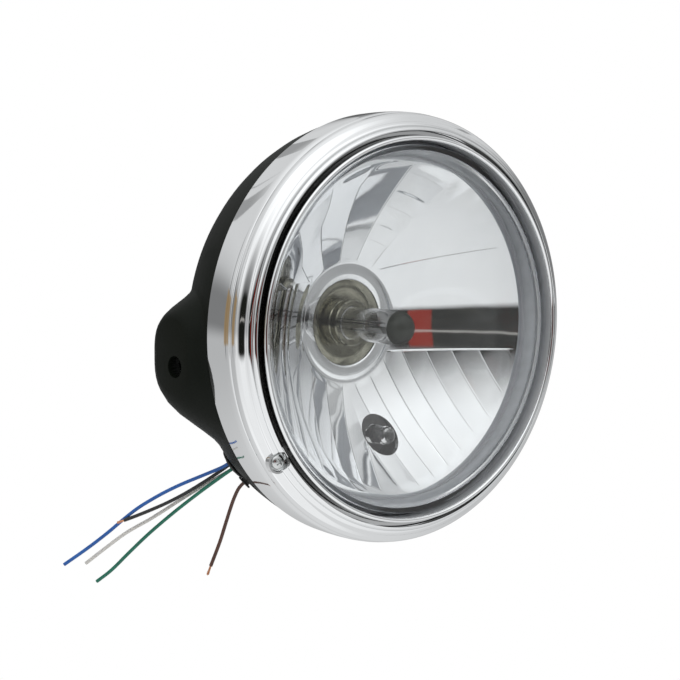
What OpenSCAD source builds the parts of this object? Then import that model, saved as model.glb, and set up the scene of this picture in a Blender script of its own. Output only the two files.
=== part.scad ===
// Side-mounted motorcycle headlight: chrome rim, clear lens, faceted reflector,
// two-filament bulb, parking lamp and a deep black bucket.
// +Z is up and the lamp shines along -Y. The origin is the middle of the side bolts' axis.

/* [Chrome rim] */
// Radius of the bead round the front edge
bead_r = 98; // [94:0.5:104]
// How far the side band bulges outside the bead
band_bulge = 4.3; // [3.8:0.1:6]
// How much the band narrows again towards its rear edge
band_taper = 0.8; // [0.4:0.1:1.4]
// Depth of the side band behind the bead
band_depth = 24.2; // [23:0.2:28]
// Thickness of the pressed sheet
rim_wall = 0.9; // [0.7:0.1:1.2]
// Width of the stepped front face, from the bead in to the lip
face_width = 8; // [7:0.2:10]
// How far the lip stands in front of the bead
face_rise = 6.3; // [5.6:0.1:7]
// Radius of the rolled steps in the front face
step_r = 0.9; // [0.7:0.1:1.1]
// How far the lip's inner wall runs back behind the bead
lip_return = 5; // [4:0.2:5.4]

/* [Bucket] */
// Depth of the bowl behind its rim spigot
bowl_depth = 80; // [78:1:95]
// Wall of the moulded bowl
bowl_wall = 2.5; // [2:0.1:3.2]
// Depth of the straight spigot that the rim slides over
spigot_depth = 5; // [4:0.5:6]
// How far each mounting face stands out beyond the bowl's mouth
boss_proud = 5.7; // [4:0.1:9]
// Distance from the bead back to the side bolts
bolt_back = 43; // [42:0.5:47]
// Height of the lamp's axis above the side bolts
optic_up = 14; // [8:0.5:16]
// Radius of the side bolt's clearance hole
bolt_hole_r = 5.1; // [4.2:0.1:5.6]
// Radius of the side nut's thread
bolt_thread_r = 4.25; // [3.3:0.05:4.5]
// Length of thread in the side nut
bolt_thread_len = 8; // [6:0.5:10]
// Half the height of the flat on each boss
boss_flat_up = 17; // [13:0.5:19]
// Reach of the flat towards the back of the bowl
boss_flat_back = 11; // [9:0.5:13]
// How high each boss's flare reaches above its middle
boss_reach_up = 31; // [28:1:36]
// How far each boss's flare reaches below its middle
boss_reach_down = 45; // [38:1:50]
// How far each boss's flare reaches towards the back
boss_reach_back = 34; // [30:1:38]

/* [Lens and reflector] */
// Gap between the rim's lip and the lens, all round
lens_gap = 2.1; // [1.6:0.1:3]
// Glass thickness
lens_wall = 3; // [2.5:0.1:3.5]
// How far the middle of the lens stands in front of its edge
lens_bulge = 9.5; // [6:0.5:14]
// Distance from the bead back to the reflector's flange
flange_back = 11.6; // [11:0.2:13]
// Depth of the reflector from its flange to the bulb collar
dish_depth = 34.7; // [33:0.5:38]
// Wall of the moulded reflector
dish_wall = 2; // [1.6:0.1:2.4]
// Radius of the flat collar round the bulb hole
collar_r = 28.5; // [27.5:0.5:30]
// Radius of the bulb hole
bulb_hole_r = 20.8; // [20:0.1:21]
// Depth of the reflector's petals and flutes
relief = 1; // [0.4:0.1:1.3]
// Angle of each petal above the bulb, in degrees
petal_angle = 20; // [15:1:30]
// Width of each flute in the lower half
flute_w = 10.9; // [9:0.1:14]
// Drop of the plain field's lower edge below the lamp's axis
field_drop = 15.5; // [12:0.5:18]
// Radius of the parking lamp's hole
parking_hole_r = 9.5; // [8.5:0.5:10.5]

/* [Bulb] */
// Radius of the glass
bulb_r = 8.3; // [8:0.1:8.8]
// Length of the glass in front of the bulb's flange
bulb_len = 47.5; // [44:0.5:49]
// Radius of the bulb's locating flange
bulb_flange_r = 21.5; // [21:0.1:22]

/* [Beam adjuster] */
// How far the adjusting screw's axis lies inside the bead's radius
adjuster_inset = 1.044; // [0.8:0.001:1.3]
// How far round below the horizontal the adjusting screw sits, in degrees
adjuster_low = 34.92; // [33:0.01:37]
// Radius of the screw's shank
adjuster_shank_r = 2; // [1.8:0.1:2.2]
// Radius of the screw's head
adjuster_head_r = 3.6; // [3.4:0.1:3.8]
// Radius of the pivot studs
pivot_r = 2; // [1.6:0.1:2.4]

/* [Wires] */
// Diameter of each wire
wire_d = 1.7; // [1.4:0.1:2]

/* [Hidden] */

// Small gaps shared by pieces that fit together
seat_gap = 0.05;
slip_gap = 0.3;
run_gap = 0.06;
tilt_gap = 0.25;

// Rim, from its driving sizes
band_r = bead_r + band_bulge;
band_rear_r = band_r - band_taper;
band_bore_r = band_rear_r - rim_wall;
lip_r = bead_r - face_width;
lip_edge_r = lip_r - step_r;
shoulder_r = 5;
shoulder = [band_r - shoulder_r - 0.6, 6];

// Bucket
bowl_r = band_bore_r - slip_gap;
bowl_start = band_depth - 2;
bowl_front = bowl_start - spigot_depth;
bowl_power = 1.9;
bowl_round = 1.75;
face_x = bowl_r + boss_proud;
boss_back = bolt_back + 3;
boss_up = 5;
boss_front_reach = boss_back - band_depth - 0.8;
nut_across = 16;
nut_inner_x = face_x - 6 - bolt_thread_len;

// Lens and reflector
lens_r = lip_edge_r - lens_gap;
lens_corner = 2.8 - face_rise;
lens_foot_w = 2;
lens_foot_t = 2.3;
seal_t = 0.4;
flange_t = 1.8;
flange_r = lens_r + 3.6;
dish_r = lens_r - lens_wall - 3;
collar_back = flange_back + dish_depth;
dish_k = (dish_r * dish_r - collar_r * collar_r) / dish_depth;
parking_x = 9;
parking_drop = 54;
parking_r = sqrt(parking_x * parking_x + parking_drop * parking_drop);
parking_back = dish_d(parking_r);

// Bulb
neck_r = bulb_flange_r + 4.5;
neck_back = collar_back + 3;
neck_end = neck_back + 5;
bulb_flange_t = 1.2;
base_back = neck_back + bulb_flange_t;
cap_r = 11.2;
plug_len = 17;
plug_w = 25;
blade_len = 13;
blade_t = 0.8;
base_len = 11;
stem_front = neck_back - 7.6;
glass_t = 0.9;

// Mounting ring, pivots and adjuster
ring_t = 1.4;
ring_front = flange_back + flange_t;
ring_back = ring_front + ring_t;
ring_r = flange_r;
ring_bore_r = lens_r - 2.4;
pivot_back = flange_back - 0.1;
pivot_foot_z = ring_r + 1.8;
pivot_block_z = pivot_foot_z + 3.2;
adjuster_angle = 180 + adjuster_low;
adjuster_reach = bead_r - adjuster_inset;
pocket_floor = 1.8;
pocket_r = adjuster_head_r + 1.1;
adjuster_head_h = 2.6;
adjusting_nut_t = 4.4;
adjuster_end = ring_back + 3;

// Slots in the spigot, for the rim's hook and for the end of the adjusting screw
hook_slot = 4;
hook_w = 13;
screw_notch = adjuster_end - bowl_front + 1.2;

// Wire exits, on the lower left of the bowl
exit_angle = 228;
exit_back = 59;
bush_back = 44;
sleeve_len = 3.4;

// Fixing screw under the rim
rim_screw_r = 2;
rim_screw_back = band_depth - 4.5;
rim_screw_angle = -62;

module lamp() translate([0, -bolt_back, optic_up]) rotate([-90, 0, 0]) children();
module at_clock(a) rotate([0, 0, -a]) children();
module revolve(points) rotate_extrude($fn = 120) polygon(points);
module disc(r, from, to, fn = 64) translate([0, 0, from]) cylinder(r = r, h = to - from, $fn = fn);
module outward(a, back) at_clock(a) translate([0, 0, back]) rotate([0, 90, 0]) children();

function arc(c, r, from, to, n) =
    [for (i = [0:n]) let (a = from + (to - from) * i / n) [c[0] + r * cos(a), c[1] + r * sin(a)]];
function mix(a, b, t) = a + (b - a) * t;
function smooth(t) = let (u = min(1, max(0, t))) u * u * (3 - 2 * u);
function reversed(p) = [for (i = [len(p) - 1:-1:0]) p[i]];

// Bowl outline as radius and depth, inset from the outside by a wall
function bowl_outline(inset, n = 20) = [for (i = [0:n]) let (t = 90 * i / n)
    [(bowl_r - inset) * pow(cos(t), 2 / bowl_round),
     bowl_start + (bowl_depth - inset) * pow(sin(t), 2 / bowl_power)]];
function bowl_at(d) = d <= bowl_start ? bowl_r
    : bowl_r * pow(1 - pow((d - bowl_start) / bowl_depth, bowl_power), 1 / bowl_round);
function bowl_x(d, up) = sqrt(pow(bowl_at(d), 2) - up * up);

// Reflector: a dish whose depth follows r squared, from the collar out to the edge
function dish_d(r) = collar_back - (r * r - collar_r * collar_r) / dish_k;
// A plain field lies beside the bulb, petals fan out above it, and flutes that spread
// a little towards the bottom fill the rest
petal_start = 60;
flute_top = 21;
flute_spread = 0.27;
function swell(t) = let (u = t - floor(t)) 1 - pow(2 * u - 1, 2);
function facet(x, z, a) = z < -field_drop || (x < 0 && z < flute_top)
    ? swell((abs(x) + flute_spread * (z + field_drop)) / flute_w)
    : a >= petal_start ? swell((a - petal_start) / petal_angle) : 0;
function relief_at(r, a) = relief * facet(r * cos(a), r * sin(a), a)
    * smooth((r - collar_r) / 9) * smooth((dish_r - r) / 4);

// Round tube swept through a list of points, with flat ends. Its sides are carried
// from point to point, so that it doesn't twist
function unit(v) = v / norm(v);
function along(p, i) = unit(p[min(i + 1, len(p) - 1)] - p[max(i - 1, 0)]);
function square_to(t, v) = unit(v - (v * t) * t);
function carried(p, v = [0.3, 1, 0.2], i = 0) = i == len(p) ? []
    : let (u = square_to(along(p, i), v)) concat([u], carried(p, u, i + 1));
function curve_at(p, i, t) = let (n = len(p) - 1,
    a = p[max(i - 1, 0)], b = p[i], c = p[min(i + 1, n)], d = p[min(i + 2, n)])
    0.5 * (2 * b + (c - a) * t + (2 * a - 5 * b + 4 * c - d) * t * t + (3 * b - a - 3 * c + d) * t * t * t);
function refined(p, k) = [for (i = [0:len(p) - 2], j = [0:k - 1]) curve_at(p, i, j / k), p[len(p) - 1]];
module tube(p, r, sides = 8) {
    n = len(p);
    across = carried(p);
    rings = [for (i = [0:n - 1]) let (u = across[i], v = cross(along(p, i), u))
        for (k = [0:sides - 1]) p[i] + r * (cos(360 * k / sides) * u + sin(360 * k / sides) * v)];
    walls = [for (i = [0:n - 2], k = [0:sides - 1]) let (a = i * sides, b = a + sides, m = (k + 1) % sides)
        [a + k, b + k, b + m, a + m]];
    ends = [[for (k = [0:sides - 1]) k], [for (k = [sides - 1:-1:0]) (n - 1) * sides + k]];
    polyhedron(rings, concat(walls, ends));
}

module boss_mass(side) {
    sectors = 36;
    flat_rings = 2;
    flare_rings = 7;
    rings = flat_rings + flare_rings;
    up = boss_up - optic_up;
    // Reach of the flare in one direction: short towards the rim, long below
    function reach(a) = norm([cos(a) * (cos(a) < 0 ? boss_front_reach : boss_reach_back),
        sin(a) * (sin(a) < 0 ? boss_reach_down : boss_reach_up)]);
    function flat(a) = norm([cos(a) * boss_flat_back, sin(a) * boss_flat_up]);
    function radius(k, a) = k <= flat_rings ? flat(a) * k / flat_rings
        : mix(flat(a), reach(a), (k - flat_rings) / flare_rings);
    function lift(k) = k <= flat_rings ? 1 : 1 - smooth((k - flat_rings) / flare_rings);
    function spot(k, a, raised) = let (rr = radius(k, a), d = boss_back + rr * cos(a),
        z = up + rr * sin(a), x = bowl_x(d, z) - (raised ? 0.4 : bowl_wall * 0.6))
        [side * (raised ? mix(x, face_x, lift(k)) : x), -z, d];
    count = rings * sectors + 1;
    top = [spot(0, 0, true), for (k = [1:rings], i = [0:sectors - 1]) spot(k, 360 * i / sectors, true)];
    low = [spot(0, 0, false), for (k = [1:rings], i = [0:sectors - 1]) spot(k, 360 * i / sectors, false)];
    function at(k, i) = k == 0 ? 0 : 1 + (k - 1) * sectors + i % sectors;
    skin = [for (i = [0:sectors - 1]) [at(0, 0), at(1, i), at(1, i + 1)],
        for (k = [1:rings - 1], i = [0:sectors - 1]) each
            [[at(k, i), at(k + 1, i), at(k + 1, i + 1)], [at(k, i), at(k + 1, i + 1), at(k, i + 1)]]];
    under = [for (f = skin) [f[2] + count, f[1] + count, f[0] + count]];
    edge = [for (i = [0:sectors - 1]) each
        [[at(rings, i), at(rings, i) + count, at(rings, i + 1) + count],
         [at(rings, i), at(rings, i + 1) + count, at(rings, i + 1)]]];
    faces = concat(skin, under, edge);
    polyhedron(concat(top, low), side > 0 ? [for (f = faces) reversed(f)] : faces);
}

module side_bolt(side) rotate([0, 90 * side, 0]) children();

module exit_place(back) {
    slope = atan2(bowl_at(back - 0.5) - bowl_at(back + 0.5), 1);
    at_clock(exit_angle) translate([bowl_at(back), 0, back]) rotate([0, 90 - slope, 0]) children();
}

module bucket() color([0.09, 0.1, 0.09]) difference() {
    union() {
        lamp() {
            revolve(concat([[bowl_r - bowl_wall, bowl_front], [bowl_r, bowl_front]], bowl_outline(0),
                reversed(bowl_outline(bowl_wall))));
            for (side = [-1, 1]) boss_mass(side);
        }
        for (side = [-1, 1]) side_bolt(side) disc(nut_across / 2 + 4, nut_inner_x, face_x - 3);
    }
    for (side = [-1, 1]) side_bolt(side) {
        disc(bolt_hole_r, nut_inner_x + 1, face_x + 1);
        translate([0, 0, nut_inner_x + bolt_thread_len / 2 - 1])
            cube([nut_across + 2 * seat_gap, nut_across + 2 * seat_gap, bolt_thread_len + 2], center = true);
    }
    lamp() {
        revolve([[bowl_r, bowl_front - 1], [face_x + 2, bowl_front - 1], [face_x + 2, band_depth + 0.4],
            [bowl_r, band_depth + 0.4]]);
        exit_place(exit_back) disc(6, -12, 12);
        exit_place(bush_back) disc(2.4, -12, 12, 32);
        exit_place(bush_back - 8) translate([-2.5, -3, -8]) cube([5, 6, 16]);
        outward(rim_screw_angle, rim_screw_back) disc(rim_screw_r + 0.4, bowl_r - 8, bowl_r + 4, 32);
        at_clock(90) translate([bowl_r - 6, -hook_w / 2 - 0.5, bowl_front - 1])
            cube([12, hook_w + 1, hook_slot + 1]);
        at_clock(adjuster_angle) translate([bowl_r - 6, -4, bowl_front - 1]) cube([12, 8, screw_notch + 1]);
    }
}

module side_nut(side) color([0.75, 0.73, 0.6]) side_bolt(side) difference() {
    translate([0, 0, nut_inner_x + bolt_thread_len / 2])
        cube([nut_across, nut_across, bolt_thread_len], center = true);
    disc(bolt_thread_r, nut_inner_x - 1, nut_inner_x + bolt_thread_len + 1);
}
module side_nut_left() side_nut(-1);
module side_nut_right() side_nut(1);

// Front face of the rim, from the bead in to the lip, as three rolled steps
function face_spot(t) = [bead_r - face_width * t, 0.5 - (face_rise - step_r + 0.5) * t];
function face_outline() = concat(
    [[bead_r + 0.9, 1.3]],
    arc(face_spot(0) - [0.3, 0], step_r, -20, -150, 5),
    arc(face_spot(0.34), step_r, -40, -150, 5),
    arc(face_spot(0.67), step_r, -40, -150, 5),
    arc(face_spot(1), step_r, -40, -200, 7));
function rim_outline() = concat(
    [[band_rear_r, band_depth], [band_r - 0.1, band_depth * 0.6], [band_r, band_depth * 0.45],
     [band_r - 0.3, band_depth * 0.27]],
    arc(shoulder, shoulder_r, 12, -52, 6),
    face_outline());
function rim_inside() = [
    [lip_edge_r, lip_return], [lip_edge_r + rim_wall, lip_return],
    [lip_edge_r + rim_wall, -face_rise + 2.2], [bead_r - 1.2, 1.5],
    each reversed(arc(shoulder, shoulder_r - rim_wall, 8, -52, 6)),
    [band_r - rim_wall, band_depth * 0.45], [band_bore_r, band_depth]];

module chrome_rim() color([0.86, 0.87, 0.88]) lamp() {
    difference() {
        union() {
            revolve(concat(rim_outline(), rim_inside()));
            at_clock(adjuster_angle) translate([adjuster_reach, 0, 0])
                disc(pocket_r + rim_wall, 0.4, pocket_floor + rim_wall, 48);
            for (a = [90, -90]) intersection() {
                at_clock(a) translate([pivot_block_z, -6, pivot_back - 4.5])
                    cube([band_r - pivot_block_z, 12, 9]);
                disc(band_r - rim_wall / 2, 0, band_depth, 120);
            }
            at_clock(90) translate([bowl_r - 3, -hook_w / 2, pivot_back])
                cube([3.2, hook_w, bowl_front + hook_slot - 0.4 - pivot_back]);
        }
        at_clock(adjuster_angle) translate([adjuster_reach, 0, 0]) {
            disc(pocket_r, -4, pocket_floor, 48);
            disc(adjuster_shank_r + tilt_gap, pocket_floor - 1, pocket_floor + 3, 32);
        }
        for (a = [90, -90]) outward(a, pivot_back) disc(pivot_r + run_gap, pivot_block_z - 1, band_r - 2.4, 32);
        outward(rim_screw_angle, rim_screw_back) disc(rim_screw_r + 0.3, band_bore_r - 3, band_r + 2, 32);
    }
}

module rim_screw() color([0.8, 0.8, 0.8]) lamp() outward(rim_screw_angle, rim_screw_back) difference() {
    union() {
        disc(rim_screw_r, bowl_r - bowl_wall - 6, band_r + 0.2, 32);
        disc(3.6, band_r + 0.1, band_r + 1.5, 48);
    }
    for (a = [0, 90]) rotate([0, 0, a]) translate([-2, -0.5, band_r + 0.7]) cube([4, 1, 2]);
}

module rim_nut() color([0.7, 0.7, 0.68]) lamp() outward(rim_screw_angle, rim_screw_back) difference() {
    translate([-4, -4, bowl_r - bowl_wall - 4.6]) cube([8, 8, 4]);
    disc(rim_screw_r + run_gap, bowl_r - bowl_wall - 6, bowl_r, 32);
}

module adjuster_axis() lamp() at_clock(adjuster_angle) translate([adjuster_reach, 0, 0]) children();

module adjusting_screw() color([0.8, 0.8, 0.8]) adjuster_axis() difference() {
    union() {
        disc(adjuster_shank_r, pocket_floor - 0.1, adjuster_end, 32);
        rotate_extrude($fn = 48) polygon(concat([[0, pocket_floor], [adjuster_head_r, pocket_floor],
            [adjuster_head_r, pocket_floor - 1.4]],
            arc([adjuster_head_r - 1.2, pocket_floor - 1.4], 1.2, 0, -80, 4), [[0, pocket_floor - adjuster_head_h]]));
    }
    for (a = [0, 90]) rotate([0, 0, a]) translate([-2.1, -0.45, pocket_floor - adjuster_head_h - 1]) cube([4.2, 0.9, 2.4]);
}

module adjusting_nut() color([0.9, 0.9, 0.85]) adjuster_axis() difference() {
    union() {
        translate([-3.4, -3.4, ring_front - adjusting_nut_t]) cube([6.8, 6.8, adjusting_nut_t]);
        disc(2.9, ring_front - 0.1, ring_back, 32);
    }
    disc(adjuster_shank_r + tilt_gap, ring_front - adjusting_nut_t - 1, ring_back + 1, 32);
}

module adjusting_spring() color([0.6, 0.6, 0.62]) adjuster_axis() {
    turns = 4;
    steps = 10;
    wire = 0.25;
    coil_r = adjuster_shank_r + 0.25 + wire;
    from = pocket_floor + rim_wall + wire + 0.35;
    to = ring_front - adjusting_nut_t - wire - 0.1;
    tube([for (i = [0:turns * steps]) let (a = 360 * i / steps)
        [coil_r * cos(a), coil_r * sin(a), mix(from, to, i / (turns * steps))]], wire, 6);
}

module pivot_stud(a) color([0.75, 0.75, 0.72]) lamp() outward(a, pivot_back) {
    disc(3.4, pivot_foot_z, pivot_foot_z + 1.4);
    disc(pivot_r, pivot_foot_z + 1.3, band_r - 2.8, 32);
}
module pivot_stud_top() pivot_stud(90);
module pivot_stud_bottom() pivot_stud(-90);

module mounting_ring() color([0.62, 0.63, 0.6]) lamp() difference() {
    union() {
        revolve([[ring_bore_r, ring_front], [ring_r, ring_front], [ring_r, ring_back],
            [ring_bore_r + ring_t, ring_back], [ring_bore_r + ring_t, ring_back + 3.4], [ring_bore_r, ring_back + 3.4]]);
        for (a = [90, -90]) at_clock(a) {
            translate([ring_r - 4, -5, ring_front]) cube([pivot_foot_z - ring_r + 4, 10, ring_t]);
            translate([pivot_foot_z - ring_t, -5, pivot_back - 4]) cube([ring_t, 10, ring_back - pivot_back + 4]);
        }
        at_clock(adjuster_angle) {
            translate([ring_r - 4, -3.9, ring_front]) cube([adjuster_reach - ring_r + 4, 7.8, ring_t]);
            translate([adjuster_reach, 0, 0]) disc(3.9, ring_front, ring_back, 48);
        }
    }
    at_clock(adjuster_angle) translate([adjuster_reach, 0, 0]) disc(2.95, ring_front - 1, ring_back + 1, 32);
}

module lens_clip(a) color([0.7, 0.7, 0.72]) lamp() at_clock(a) rotate([0, 0, -6]) rotate_extrude(angle = 12, $fn = 120) {
    front = flange_back - seal_t - lens_foot_t;
    polygon([[lens_r + 0.3, front - 0.8], [flange_r + 1, front - 0.8], [flange_r + 1, ring_back + 0.8],
        [ring_bore_r + 3, ring_back + 0.8], [ring_bore_r + 3, ring_back], [flange_r + 0.2, ring_back],
        [flange_r + 0.2, front], [lens_r + 0.3, front]]);
}
module lens_clip_top_left() lens_clip(150);
module lens_clip_top_right() lens_clip(30);
module lens_clip_bottom() lens_clip(-75);

module lens() color([0.8, 0.88, 0.9, 0.35]) lamp() {
    edge = lens_r - 1.5;
    dome = (edge * edge + lens_bulge * lens_bulge) / (2 * lens_bulge);
    top = lens_corner - 0.6;
    span = asin(edge / dome);
    foot = flange_back - seal_t - lens_foot_t;
    revolve(concat(
        arc([0, top - lens_bulge + dome], dome, -90, -90 + span, 12),
        arc([edge, lens_corner + 0.9], 1.5, -60, 0, 4),
        [[lens_r, foot], [lens_r + lens_foot_w, foot], [lens_r + lens_foot_w, foot + lens_foot_t],
         [lens_r - lens_wall, foot + lens_foot_t], [lens_r - lens_wall, lens_corner + 4]],
        reversed(arc([0, top - lens_bulge + dome], dome - lens_wall, -90, -90 + span * 0.93, 12))));
}

module lens_seal() color([0.25, 0.25, 0.26]) lamp() {
    foot = flange_back - seal_t;
    outer = lens_r + lens_foot_w + seat_gap;
    inner = lens_r - lens_wall - seat_gap;
    revolve([[inner - 0.9, foot - 0.9], [inner, foot - 0.9], [inner, foot], [outer, foot], [outer, foot - 1.6],
        [outer + 0.9, foot - 1.6], [outer + 0.9, flange_back], [inner - 0.9, flange_back]]);
}

module reflector() color([0.83, 0.84, 0.86]) lamp() difference() {
    union() {
        dish_skin();
        intersection() {
            translate([parking_x, parking_drop, 0]) disc(parking_hole_r + dish_wall, parking_back - 8, parking_back + 11);
            revolve(concat([for (i = [0:10]) let (r = mix(collar_r, dish_r, i / 10)) [r, dish_d(r) + 0.8]],
                [[dish_r, collar_back], [collar_r, collar_back]]));
        }
    }
    translate([parking_x, parking_drop, 0]) disc(parking_hole_r, parking_back - 20, parking_back + 20);
    disc(bulb_hole_r, collar_back - 1, neck_back + 1);
}

// Dish, flange and neck as one closed skin: rings of points run out over the front,
// round the flange, back over the rear and through the neck
module dish_skin() {
    sectors = 96;
    rings = 14;
    rear_rings = 7;
    front = [for (k = [0:rings]) let (r = mix(collar_r, dish_r, k / rings)) [r, dish_d(r), 1]];
    flange = [[flange_r, flange_back, 0], [flange_r, ring_front, 0], [dish_r + 0.6, ring_front, 0]];
    rear = [for (k = [0:rear_rings]) let (r = mix(dish_r - 0.6, collar_r, k / rear_rings))
        [r, dish_d(r) + dish_wall, 0]];
    neck = [[neck_r, collar_back + dish_wall, 0], [neck_r, neck_end, 0], [neck_r - dish_wall, neck_end, 0],
        [neck_r - dish_wall, neck_back, 0], [bulb_hole_r - 0.5, neck_back, 0], [bulb_hole_r - 0.5, collar_back, 0]];
    loop = concat(front, flange, rear, neck);
    n = len(loop);
    function at(k, i) = (k % n) * sectors + i % sectors;
    spots = [for (q = loop, i = [0:sectors - 1]) let (a = 360 * i / sectors)
        [q[0] * cos(a), -q[0] * sin(a), q[1] - q[2] * relief_at(q[0], a)]];
    polyhedron(spots, [for (k = [0:n - 1], i = [0:sectors - 1]) each
        [[at(k, i), at(k + 1, i + 1), at(k + 1, i)], [at(k, i), at(k, i + 1), at(k + 1, i + 1)]]]);
}

module bulb_glass() color([0.85, 0.9, 0.92, 0.4]) lamp() {
    tip = neck_back - bulb_len;
    back = neck_back - 7.5;
    revolve(concat(arc([0, tip + bulb_r], bulb_r, -90, 0, 8), [[bulb_r, back], [bulb_r - glass_t, back]],
        reversed(arc([0, tip + bulb_r], bulb_r - glass_t, -90, 0, 8))));
}

module bulb_shield() color([0.6, 0.6, 0.6]) lamp() difference() {
    union() {
        disc(3.4, base_back - 33, base_back - 21, 48);
        translate([-0.4, 2.6, base_back - 22]) cube([0.8, 0.8, stem_front - base_back + 22]);
    }
    disc(2.9, base_back - 32.4, base_back - 20, 48);
    translate([-5, -5, base_back - 34]) cube([10, 5.6, 15]);
}

module filament(front, up) {
    coils = 7;
    steps = 8;
    tube([for (i = [0:coils * steps]) let (a = 360 * i / steps)
        [0.6 * cos(a), 0.6 * sin(a) - up, front + 5 * i / (coils * steps)]], 0.14, 4);
}
module main_filament() color([0.5, 0.5, 0.5]) lamp() {
    filament(base_back - 26, 0.2);
    translate([0, -0.2, 0]) disc(0.35, base_back - 21.2, stem_front, 16);
}
module dip_filament() color([0.5, 0.5, 0.5]) lamp() {
    filament(base_back - 31, 1.6);
    translate([0, -1.6, 0]) disc(0.35, base_back - 26.2, stem_front, 16);
}

module bulb_base() color([0.72, 0.64, 0.48]) lamp() difference() {
    front = neck_back - 7.5;
    union() {
        disc(cap_r, front, neck_back + 0.1);
        disc(bulb_flange_r, neck_back, base_back);
        disc(cap_r, base_back - 0.1, base_back + base_len);
    }
    difference() {
        disc(bulb_r + seat_gap, front - 1, front + 0.4);
        disc(bulb_r - glass_t - seat_gap, front - 2, front + 1);
    }
}

module bulb_terminals() color([0.8, 0.7, 0.35]) lamp() {
    from = base_back + base_len;
    for (side = [-1, 1]) translate([side * 8.5 - blade_t / 2, -4, from]) cube([blade_t, 8, blade_len]);
    translate([-4, -8.9, from]) cube([8, blade_t, blade_len]);
}

module bulb_clip() color([0.7, 0.7, 0.72]) lamp() {
    wire = 0.8;
    ring = bulb_flange_r - 2.5;
    translate([0, 0, base_back + wire]) {
        rotate([0, 0, 105]) rotate_extrude(angle = 330, $fn = 96) translate([ring, 0]) circle(r = wire, $fn = 16);
        for (a = [75, 105]) rotate([0, 0, a]) translate([ring, 0, 0]) rotate([0, 90, 0])
            cylinder(r = wire, h = neck_r - dish_wall - ring - 0.4, $fn = 16);
    }
}

module dust_boot() color([0.12, 0.12, 0.12]) lamp() {
    front = collar_back + dish_wall + 0.4;
    grip = base_back + base_len - 3;
    bore = neck_r + seat_gap;
    hold = cap_r + seat_gap;
    revolve([[bore, front], [bore + 2.2, front], [bore + 2.2, neck_end + 1.2], [bore - 2, neck_end + 3],
        [cap_r + 5, grip - 0.6], [cap_r + 2.4, grip + 0.4], [cap_r + 2.4, grip + 2.8], [hold, grip + 2.8],
        [hold, grip - 2], [cap_r + 3, grip - 2.4], [bore - 3.4, neck_end + 1.4], [bore, neck_end + seat_gap]]);
}

module bulb_plug() color([0.2, 0.2, 0.2]) lamp() {
    from = base_back + base_len + 0.4;
    slot = 0.15;
    difference() {
        translate([-plug_w / 2, -11.5, from]) cube([plug_w, 22, plug_len]);
        for (side = [-1, 1]) translate([side * 8.5 - blade_t / 2 - slot, -4 - slot, from - 1])
            cube([blade_t + 2 * slot, 8 + 2 * slot, blade_len + 1.5]);
        translate([-4 - slot, -8.9 - slot, from - 1]) cube([8 + 2 * slot, blade_t + 2 * slot, blade_len + 1.5]);
    }
}

module parking_bulb() color([0.85, 0.9, 0.92, 0.5]) lamp() translate([parking_x, parking_drop, 0]) {
    front = parking_back - 9;
    revolve(concat(arc([0, front + 4.6], 4.6, -90, 0, 6), [[4.6, front + 15], [0, front + 15]]));
    translate([-4, -1.1, front + 14.9]) cube([8, 2.2, 5]);
}

module parking_holder() color([0.15, 0.15, 0.15]) lamp() translate([parking_x, parking_drop, 0]) {
    front = parking_back + 5;
    slot = 0.1;
    difference() {
        union() {
            disc(parking_hole_r - seat_gap, front, front + 7);
            disc(parking_hole_r + dish_wall, front + 6 + seat_gap, front + 8.5);
            disc(parking_hole_r - 2.5, front + 8, front + 18);
        }
        disc(4.6 + slot, front - 1, front + 1 + slot);
        translate([-4 - slot, -1.1 - slot, front]) cube([8 + 2 * slot, 2.2 + 2 * slot, 6 + slot]);
    }
}

module wire_grommet() color([0.07, 0.07, 0.07]) lamp() exit_place(exit_back) {
    disc(6 - seat_gap, -bowl_wall - 2, 1.2);
    disc(8, 1, 2.4);
    disc(4.4, 2.3, sleeve_len, 48);
    disc(7, -bowl_wall - 3.4, -bowl_wall - 1.9);
}

module brown_wire_bush() color([0.07, 0.07, 0.07]) lamp() exit_place(bush_back) {
    disc(2.4 - seat_gap, -bowl_wall - 1.6, 0.9, 32);
    disc(3.6, 0.8, 1.8, 32);
    disc(3.4, -bowl_wall - 2.4, -bowl_wall - 1.2, 32);
}

// Frames of the two wire exits, in the part's own axes
function clock(a) = [cos(a), 0, sin(a)];
function exit_slope(back) = atan2(bowl_at(back - 0.5) - bowl_at(back + 0.5), 1);
function exit_normal(back) = let (s = exit_slope(back)) cos(s) * clock(exit_angle) + [0, sin(s), 0];
function exit_side() = [sin(exit_angle), 0, -cos(exit_angle)];
function exit_point(back, lift, side, along) = let (n = exit_normal(back), t = exit_side(), u = cross(n, t))
    bowl_at(back) * clock(exit_angle) + [0, back - bolt_back, optic_up] + lift * n + side * t + along * u;

// Routes of the free wires, each from its own place on the grommet to its bare end
blue_end = [[-68, 28, -57], [-76, 38, -62], [-81, 43, -66], [-85, 49, -70], [-89, 54, -74], [-93, 59, -79],
    [-98, 66, -87], [-104, 73, -94], [-112, 83, -103]];
black_end = [[-65.5, 32, -61.5], [-73, 38, -67], [-78, 43, -71], [-83, 48, -74], [-90, 54, -78], [-94, 58, -80]];
white_end = [[-64, 34, -63], [-73, 43, -71], [-78, 48, -76], [-83, 54, -81], [-87, 58, -84], [-91, 62, -87],
    [-96, 69, -94], [-102, 79, -103]];
green_end = [[-68, 31, -65], [-71, 38, -71], [-74, 44, -76], [-78, 50, -82], [-81, 56, -88], [-87, 66, -98],
    [-91, 73, -108], [-95, 80, -113]];
brown_end = [[-68, 6, -66], [-69, 7, -72], [-71, 9, -79], [-72, 10, -86], [-74, 12, -92], [-76, 13, -98]];

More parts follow.
